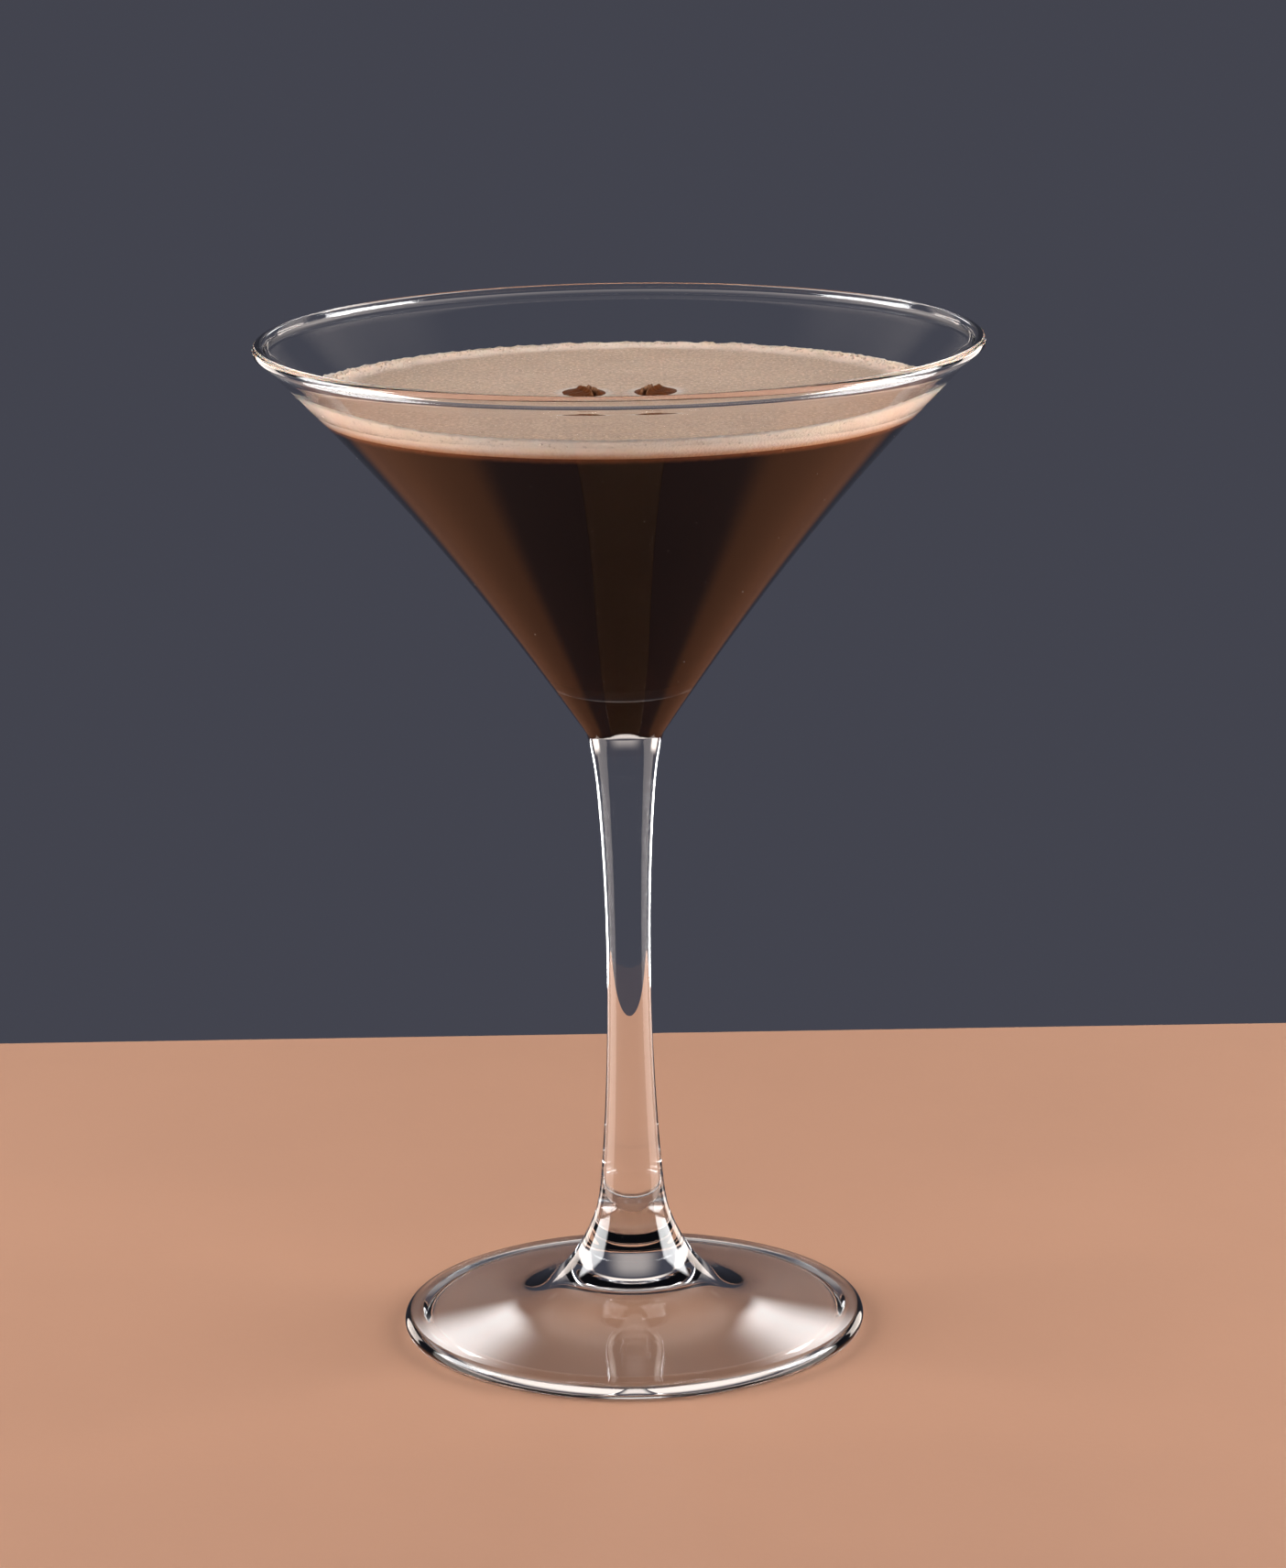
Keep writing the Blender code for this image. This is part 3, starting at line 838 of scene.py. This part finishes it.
def make_foam_layer(glass, drink, colours):
    """The foam: an uneven top with a ragged, climbing edge, a side in the wall, and its underside."""
    depth = glass.wall - drink.reach_in
    level_wall = foam_wall(glass, drink, depth)
    middle = MIDDLE_RADIUS / level_wall[0]
    shares = spread(0.01 * middle, middle, MIDDLE_RINGS) + spread(middle, 1.0, OUTER_RINGS)[1:]
    angles = [TURN * k / FOAM_SECTORS for k in range(FOAM_SECTORS)]
    circle = np.array([(math.cos(a), math.sin(a)) for a in angles])
    reach = np.array([level_wall[0] + level_wall[1] * foam_crest(drink, a) for a in angles])

    def wall_ring(heights):
        """A ring of points in the wall, at a height for each sector."""
        radii = np.array([wall_radius(glass, height, depth) for height in heights])
        return np.column_stack([circle * radii[:, None], heights])

    rings, at_wall, at_bean = [], [], []
    for share in shares:
        places = circle * (share * reach)[:, None]
        heights, walls, beans = zip(*(foam_shape(drink, x, y, level_wall) for x, y in places))
        rings.append(np.column_stack([places, heights]))
        at_wall += walls
        at_bean += beans
    top = rings[-1][:, 2]
    rings[-1] = wall_ring(top)

    teeth = np.array([lumps(Vector((x, y, 3.0)), LINE_TEETH) for x, y in circle])
    waves = np.array([lumps(Vector((x, y, 5.0)), LINE_WAVES) for x, y in circle])
    low = drink.coffee_level + (teeth + waves) * MM
    for step in range(1, SIDE_RINGS + 1):
        rings.append(wall_ring(top + (low - top) * step / SIDE_RINGS))
    low_wall = wall_radius(glass, drink.coffee_level, depth)
    for radius in spread(low_wall - UNDER_OUTER, UNDER_INNER, UNDER_RINGS):
        height = foam_underside(drink, radius, low_wall)
        rings.append(np.column_stack([circle * radius, np.full(FOAM_SECTORS, height)]))
    count = len(rings) - len(shares)
    # The side and the underside take the pale colour, which is partly painted light, in full
    at_wall += [1.0] * (FOAM_SECTORS * count)
    at_bean += [0.0] * (FOAM_SECTORS * count)

    vertices = np.concatenate(rings)
    faces = []
    for r in range(len(rings) - 1):
        here = np.arange(FOAM_SECTORS) + r * FOAM_SECTORS
        after = np.roll(here, -1)
        faces.append(np.stack([here, here + FOAM_SECTORS, after + FOAM_SECTORS, after], axis=1))
    faces = np.concatenate(faces).tolist()
    faces.append(list(range(FOAM_SECTORS)))
    last = (len(rings) - 1) * FOAM_SECTORS
    faces.append(list(range(last + FOAM_SECTORS - 1, last - 1, -1)))
    mesh = bpy.data.meshes.new("foam_rings")
    mesh.from_pydata(vertices.tolist(), [], faces)
    shape = bmesh.new()
    shape.from_mesh(mesh)
    bpy.data.meshes.remove(mesh)
    piece = object_from_bmesh("foam_layer", shape)
    add_attribute(piece, "at_wall", at_wall)
    add_attribute(piece, "at_bean", at_bean)
    return finish_piece(piece, make_foam_material(drink, colours), "foam")


# Bubbles: how many, their least size and range in millimetres, and how far in from the wall they lie
EDGE_BUBBLES = 1500
EDGE_BUBBLE_SIZE = (0.10, 0.26)
EDGE_BUBBLE_REACH = 2.6 * MM
TOP_BUBBLES = 1500
TOP_BUBBLE_SIZE = (0.07, 0.13)
TOP_BUBBLE_MARGIN = 2.5 * MM


def make_bubbles(name, drink, level_wall, spots, sink, flatness, material):
    """Small domes on the foam, each with a radius, an angle and a size, sunk in by a share of its size."""
    places = []
    for radius, angle, size in spots:
        x, y = radius * math.cos(angle), radius * math.sin(angle)
        places.append((x, y, foam_shape(drink, x, y, level_wall)[0] - sink * size))
    sizes = [spot[2] for spot in spots]
    piece = scattered_balls(name, places, sizes, [(0.0, 0.0, 1.0)] * len(spots), flatness)
    return finish_piece(piece, material)


def make_edge_bubbles(glass, drink, material):
    """Small bubbles crowded where the foam meets the wall."""
    chance = random.Random(11)
    level_wall = foam_wall(glass, drink, glass.wall)
    spots = []
    for _ in range(EDGE_BUBBLES):
        size = (EDGE_BUBBLE_SIZE[0] + EDGE_BUBBLE_SIZE[1] * chance.random() ** 2.5) * MM
        inward = size + EDGE_BUBBLE_REACH * chance.random() ** 2.2
        angle = chance.uniform(0.0, TURN)
        radius = level_wall[0] + level_wall[1] * foam_crest(drink, angle) - inward
        spots.append((radius, angle, size))
    return make_bubbles("foam_edge_bubbles", drink, level_wall, spots, 0.25, 0.85, material)


def make_top_bubbles(glass, drink, material):
    """Single larger bubbles that dome out of the fine foam."""
    chance = random.Random(23)
    level_wall = foam_wall(glass, drink, glass.wall)
    spots = []
    while len(spots) < TOP_BUBBLES:
        radius = (level_wall[0] - TOP_BUBBLE_MARGIN) * math.sqrt(chance.random())
        angle = chance.uniform(0.0, TURN)
        x, y = radius * math.cos(angle), radius * math.sin(angle)
        if min(bean_reach(drink, x, y, side) for side in (-1, 1)) < 1.05:
            continue
        size = (TOP_BUBBLE_SIZE[0] + TOP_BUBBLE_SIZE[1] * chance.random() ** 3) * MM
        spots.append((radius, angle, size))
    return make_bubbles("foam_top_bubbles", drink, level_wall, spots, 0.45, 0.9, material)


# The beans: their top is the flat side, with two lips and the cleft, bent like an S, between them

BEAN_GRID = 96
CLEFT_BEND = 0.35 * MM
CLEFT_OFFSET = 0.9 * MM
CLEFT_WIDTH = 0.34 * MM
CLEFT_DEPTH = 1.05 * MM
LIP_HEIGHT = 0.62 * MM
LIP_OUT = 0.55 * MM
LIP_WIDTH = 0.48 * MM
CHAFF_OUT = 0.48 * MM
CHAFF_WIDTH = 0.20 * MM
# Layers of noise on a bean; those of the frill and the patches are shares, not millimetres
CLEFT_WANDER = ((420.0, 0.16),)
LIP_FRILL = ((1300.0, 0.28),)
BEAN_WRINKLES = ((900.0, 0.09), (2300.0, 0.05))
CHAFF_PATCHES = ((1500.0, 0.9),)
BELLY_LUMPS = ((600.0, 0.08),)
# How far the grid's lines crowd towards the middle
GRID_CROWDING = 1.15


def bean_top(drink, x, y, reach, side):
    """Height of the bean's flat side at a place, and how much chaff shows there."""
    place = Vector((x, y, side * 0.01))
    wander = lumps(place, CLEFT_WANDER) * MM
    middle = side * (CLEFT_BEND * math.sin(y / drink.bean_length * TURN) - CLEFT_OFFSET) + wander
    across = abs(x - middle)
    fade = 1.0 - reach**4
    crown = drink.bean_crown * fade
    frill = 1.0 + lumps(place, LIP_FRILL)
    lips = LIP_HEIGHT * frill * math.exp(-(((across - LIP_OUT) / LIP_WIDTH) ** 2)) * fade
    cleft = CLEFT_DEPTH * math.exp(-((across / CLEFT_WIDTH) ** 2)) * fade
    wrinkles = lumps(place, BEAN_WRINKLES) * MM * fade
    chaff = math.exp(-(((across - CHAFF_OUT) / CHAFF_WIDTH) ** 2))
    chaff *= 0.55 + lumps(place, CHAFF_PATCHES)
    return crown + lips - cleft + wrinkles, min(max(chaff * fade, 0.0), 1.0)


def make_bean(name, side, drink, material):
    """One roasted bean: a square grid pressed to a round outline, for the flat side and the belly."""
    steps = BEAN_GRID
    values = [math.copysign(abs(s) ** GRID_CROWDING, s) for s in spread(-1.0, 1.0, steps + 1)]
    vertices, chaff, index = [], [], {}
    for face in ("top", "belly"):
        for i, u in enumerate(values):
            for j, v in enumerate(values):
                on_edge = i in (0, steps) or j in (0, steps)
                if on_edge and face == "belly":
                    index[face, i, j] = index["top", i, j]
                    continue
                unit_x = u * math.sqrt(1.0 - v * v / 2.0)
                unit_y = v * math.sqrt(1.0 - u * u / 2.0)
                reach = min(math.hypot(unit_x, unit_y), 1.0)
                x = unit_x * drink.bean_width / 2.0
                y = unit_y * drink.bean_length / 2.0
                place = Vector((x, y, side * 0.02))
                height = -drink.bean_belly * math.sqrt(1.0 - reach**2)
                height += lumps(place, BELLY_LUMPS) * MM * (1.0 - reach)
                pale = 0.0
                if face == "top":
                    height, pale = bean_top(drink, x, y, reach, side)
                index[face, i, j] = len(vertices)
                vertices.append((x, y, 0.0 if on_edge else height))
                chaff.append(pale)
    faces = []
    for i in range(steps):
        for j in range(steps):
            quad = [(i, j), (i + 1, j), (i + 1, j + 1), (i, j + 1)]
            faces.append([index["top", a, b] for a, b in quad])
            faces.append([index["belly", a, b] for a, b in reversed(quad)])
    place = bean_place(side)
    move = Matrix.Translation((place[0], place[1], drink.foam_level))
    move = move @ Matrix.Rotation(-side * BEAN_TURN, 4, "Z")
    vertices = np.array([move @ Vector(v) for v in vertices])
    piece = object_from_arrays(name + "_roasted", vertices, np.array(faces))
    add_attribute(piece, "chaff", chaff)
    return finish_piece(piece, material, name)


# The stage: floor, lights, backdrop and camera

# Floor edges: to the sides, behind the drink and in front of it
FLOOR_SIDE = 0.18
FLOOR_BACK = 0.167
FLOOR_FRONT = 0.20
FLOOR_CORNER = 0.030
FLOOR_DEPTH = 0.018
FLOOR_GAP = 0.05 * MM
FLOOR_BEVEL = 1.2 * MM


def make_floor(colours):
    """A plain pale table top with rounded corners."""
    outline = []
    corners = ((1, FLOOR_BACK), (-1, FLOOR_BACK), (-1, -FLOOR_FRONT), (1, -FLOOR_FRONT))
    for k, (side, y) in enumerate(corners):
        start = k * math.pi / 2.0
        centre = (side * (FLOOR_SIDE - FLOOR_CORNER), y - math.copysign(FLOOR_CORNER, y))
        outline += arc(centre, FLOOR_CORNER, start, start + math.pi / 2.0, 16)
    shape = bmesh.new()
    face = shape.faces.new([shape.verts.new((x, y, -FLOOR_GAP)) for x, y in outline])
    lower = bmesh.ops.extrude_face_region(shape, geom=[face])["geom"]
    moved = [v for v in lower if isinstance(v, bmesh.types.BMVert)]
    bmesh.ops.translate(shape, verts=moved, vec=(0.0, 0.0, -FLOOR_DEPTH))
    bmesh.ops.recalc_face_normals(shape, faces=shape.faces)
    edges = [e for e in shape.edges if all(v.co.z > -FLOOR_DEPTH / 2.0 for v in e.verts)]
    bmesh.ops.bevel(shape, geom=edges, offset=FLOOR_BEVEL, segments=4, affect="EDGES")
    mesh = bpy.data.meshes.new("floor")
    shape.to_mesh(mesh)
    shape.free()
    floor = add_object("floor", mesh)
    floor.data.materials.append(make_floor_material(colours))
    floor.visible_glossy = False


# The middle of the drink, which every light faces
LIGHT_TARGET = (0.0, 0.0, 0.08)


def add_softbox(name, azimuth, elevation, distance, width, height, brightness, soft_edge, colour):
    """A soft light that faces the drink, in degrees and metres.

    Azimuth 0 lies behind the drink, and grows to the right. The brightness is that of the light's
    middle, and falls off over soft_edge of its width and height.
    """
    light = bpy.data.lights.new(name, "AREA")
    light.shape = "RECTANGLE"
    light.size = width
    light.size_y = height
    light.energy = brightness * math.pi * width * height
    light.color = colour
    light.use_nodes = True
    tree = light.node_tree
    place = tree.nodes.new("ShaderNodeNewGeometry")
    split = tree.nodes.new("ShaderNodeSeparateXYZ")
    tree.links.new(place.outputs["Parametric"], split.inputs[0])
    strength = None
    for axis in ("X", "Y"):
        centred = maths(tree, "SUBTRACT", split.outputs[axis], 0.5)
        inside = maths(tree, "SUBTRACT", 0.5, maths(tree, "ABSOLUTE", centred))
        edge = map_range(tree, inside, 0.0, soft_edge)
        strength = edge if strength is None else maths(tree, "MULTIPLY", strength, edge)
    tree.links.new(strength, tree.nodes["Emission"].inputs["Strength"])
    lamp = add_object(name, light)
    az, el = math.radians(azimuth), math.radians(elevation)
    towards = Vector((math.sin(az) * math.cos(el), math.cos(az) * math.cos(el), math.sin(el)))
    lamp.location = Vector(LIGHT_TARGET) + towards * distance
    lamp.rotation_euler = (-towards).to_track_quat("-Z", "Y").to_euler()
    lamp.visible_camera = False
    return lamp


def both_sides(name, azimuth, *rest):
    """The same light at the left and at the right."""
    return [(name + "_left", -azimuth, *rest), (name + "_right", azimuth, *rest)]


# Colours of the lights
WHITE = (1.0, 1.0, 1.0)
WARM = (1.0, 0.88, 0.80)
BROWN = (1.0, 0.34, 0.08)
# Each light has its name, azimuth, elevation, distance, width, height, brightness, soft edge and colour.
# These fall on the floor, the foam and the beans
SOFTBOXES = [
    *both_sides("side", 86.0, 25.0, 0.8, 0.65, 0.64, 7.0, 0.04, WHITE),
    ("overhead", 180.0, 78.0, 1.2, 1.1, 1.1, 0.6, 0.2, WHITE),
]
# These are seen through the glass, for the bright lines at its edges
GLOWS = [
    ("side_glow_left", -86.0, -9.0, 0.8, 0.65, 1.36, 11.0, 0.05, WHITE),
    ("side_glow_right", 86.0, -8.0, 0.8, 0.65, 1.38, 13.0, 0.05, WHITE),
    *both_sides("low", 25.0, -38.0, 1.2, 0.66, 0.46, 0.7, 0.15, WARM),
    ("high_back", 0.0, 55.0, 1.2, 2.0, 1.2, 1.1, 0.3, WARM),
    ("low_front", 180.0, -35.0, 1.2, 1.6, 0.8, 0.7, 0.2, WARM),
    ("middle_back", 0.0, 14.0, 1.2, 0.9, 0.5, 0.35, 0.4, WARM),
    *both_sides("quarter", 45.0, 15.0, 1.2, 0.5, 0.5, 1.6, 0.3, WARM),
]
# These are mirrored in the outside of the glass; the brown ones stand for the light off a table
GLINTS = [
    ("side_glint_left", -86.0, 15.0, 0.8, 0.65, 0.46, 11.0, 0.15, WHITE),
    ("side_glint_right", 86.0, 15.0, 0.8, 0.65, 0.46, 13.0, 0.15, WHITE),
    *both_sides("side_low", 86.0, -25.0, 0.8, 0.65, 0.75, 2.0, 0.1, WARM),
    *both_sides("edge", 39.0, -2.0, 1.0, 0.42, 0.58, 4.0, 0.1, WARM),
    *both_sides("back", 10.0, 23.0, 1.0, 0.15, 0.26, 5.0, 0.45, WHITE),
    ("bounce_below", 0.0, -89.9, 0.5, 1.6, 1.6, 0.1, 0.2, BROWN),
    *both_sides("bounce", 41.0, -42.0, 1.0, 1.0, 0.84, 0.31, 0.22, BROWN),
]


def make_backdrop(colours):
    """The slate grey all round, which is also a weak fill."""
    world = bpy.data.worlds.new("backdrop")
    world.use_nodes = True
    bpy.context.scene.world = world
    background = world.node_tree.nodes["Background"]
    background.inputs["Color"].default_value = (*colours.backdrop, 1.0)
    background.inputs["Strength"].default_value = 1.0


def make_camera():
    """The photograph's camera."""
    data = bpy.data.cameras.new("camera")
    data.sensor_width = SENSOR
    data.lens = FOCAL_PIXELS / IMAGE_HEIGHT * SENSOR
    data.clip_start = 0.01
    data.clip_end = 20.0
    camera = add_object("camera", data)
    place = Matrix.Translation((0.0, -CAMERA_DISTANCE, CAMERA_HEIGHT))
    pan = Matrix.Rotation(CAMERA_PAN, 4, "Z")
    pitch = Matrix.Rotation(math.pi / 2.0 - CAMERA_PITCH, 4, "X")
    camera.matrix_world = place @ pan @ pitch @ Matrix.Rotation(CAMERA_ROLL, 4, "Z")
    bpy.context.scene.camera = camera


# Operators, panel and registration

def settings(context):
    """The sizes of the glass, those of the drink, and the colours."""
    scene = context.scene
    return scene.martini_glass, scene.martini_drink, scene.martini_colours


class MARTINI_OT_glass(bpy.types.Operator):
    """Make the glass and the specks of dust on it."""

    bl_idname = "martini.glass"
    bl_label = "Glass"

    def execute(self, context):
        glass = settings(context)[0]
        make_glass_body(glass)
        make_glass_specks(glass)
        return {"FINISHED"}


class MARTINI_OT_coffee(bpy.types.Operator):
    """Make the coffee in the bowl."""

    bl_idname = "martini.coffee"
    bl_label = "Coffee"

    def execute(self, context):
        make_coffee_drink(*settings(context))
        return {"FINISHED"}


class MARTINI_OT_foam(bpy.types.Operator):
    """Make the foam and its bubbles."""

    bl_idname = "martini.foam"
    bl_label = "Foam"

    def execute(self, context):
        glass, drink, colours = settings(context)
        make_foam_layer(glass, drink, colours)
        bubbles = make_bubble_material(colours)
        make_edge_bubbles(glass, drink, bubbles)
        make_top_bubbles(glass, drink, bubbles)
        return {"FINISHED"}


class MARTINI_OT_beans(bpy.types.Operator):
    """Make the two coffee beans that float on the foam."""

    bl_idname = "martini.beans"
    bl_label = "Beans"

    def execute(self, context):
        _, drink, colours = settings(context)
        material = make_bean_material(colours)
        for name, side in (("bean_left", -1), ("bean_right", 1)):
            make_bean(name, side, drink, material)
        return {"FINISHED"}


class MARTINI_OT_stage(bpy.types.Operator):
    """Make the floor, the backdrop, the lights and the camera."""

    bl_idname = "martini.stage"
    bl_label = "Stage"

    def execute(self, context):
        colours = settings(context)[2]
        make_floor(colours)
        make_backdrop(colours)
        for softbox in SOFTBOXES:
            lamp = add_softbox(*softbox)
            lamp.visible_glossy = lamp.visible_transmission = False
        for glow in GLOWS:
            lamp = add_softbox(*glow)
            lamp.visible_diffuse = lamp.visible_glossy = False
        for glint in GLINTS:
            lamp = add_softbox(*glint)
            lamp.visible_diffuse = lamp.visible_transmission = False
        context.scene.view_settings.view_transform = "Standard"
        make_camera()
        return {"FINISHED"}


class MARTINI_PT_panel(bpy.types.Panel):
    """Sizes, colours and the makers of the pieces."""

    bl_idname = "MARTINI_PT_panel"
    bl_label = "Coffee martini"
    bl_space_type = "VIEW_3D"
    bl_region_type = "UI"
    bl_category = "Martini"

    def draw(self, context):
        for group in settings(context):
            box = self.layout.box()
            for name in group.bl_rna.properties.keys():
                if name not in ("rna_type", "name"):
                    box.prop(group, name)
        for operator in OPERATORS:
            self.layout.operator(operator.bl_idname)


OPERATORS = (
    MARTINI_OT_glass,
    MARTINI_OT_coffee,
    MARTINI_OT_foam,
    MARTINI_OT_beans,
    MARTINI_OT_stage,
)
GROUPS = (GlassSizes, DrinkSizes, Colours)


def register():
    for each in GROUPS + OPERATORS + (MARTINI_PT_panel,):
        bpy.utils.register_class(each)
    bpy.types.Scene.martini_glass = bpy.props.PointerProperty(type=GlassSizes)
    bpy.types.Scene.martini_drink = bpy.props.PointerProperty(type=DrinkSizes)
    bpy.types.Scene.martini_colours = bpy.props.PointerProperty(type=Colours)


def unregister():
    del bpy.types.Scene.martini_glass
    del bpy.types.Scene.martini_drink
    del bpy.types.Scene.martini_colours
    for each in reversed(GROUPS + OPERATORS + (MARTINI_PT_panel,)):
        bpy.utils.unregister_class(each)


def main():
    register()
    bpy.ops.martini.glass()
    bpy.ops.martini.coffee()
    bpy.ops.martini.foam()
    bpy.ops.martini.beans()
    bpy.ops.martini.stage()


if __name__ == "__main__":
    main()
